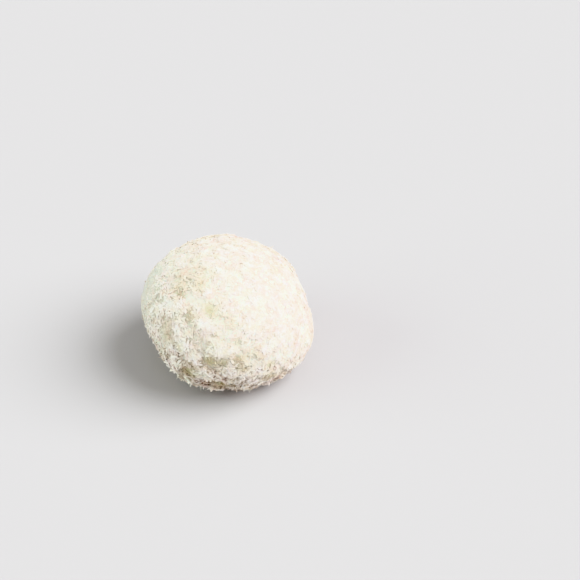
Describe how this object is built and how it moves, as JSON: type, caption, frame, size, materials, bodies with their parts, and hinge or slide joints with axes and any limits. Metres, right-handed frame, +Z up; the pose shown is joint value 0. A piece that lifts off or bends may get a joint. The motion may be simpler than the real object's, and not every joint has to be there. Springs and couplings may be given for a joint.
{
  "type": "coconut rice ball",
  "caption": "Soft slumped ball of sticky rice dough, coated all over in fine white coconut shreds, resting on a small flat base.",
  "frame": {"origin": "middle of the flat base, on the surface that the ball rests on", "axes": "+Z up; -Y towards the side that the picture shows; +X to the right as seen from there"},
  "size_m": [0.0519, 0.0515, 0.0378],
  "materials": {
    "coconut_coat": "matte off-white coat of fine coconut shreds over pale, slightly moist rice dough"
  },
  "bodies": {
    "root": {"coconut_rice_ball": "coconut_coat"}
  },
  "joints": []
}
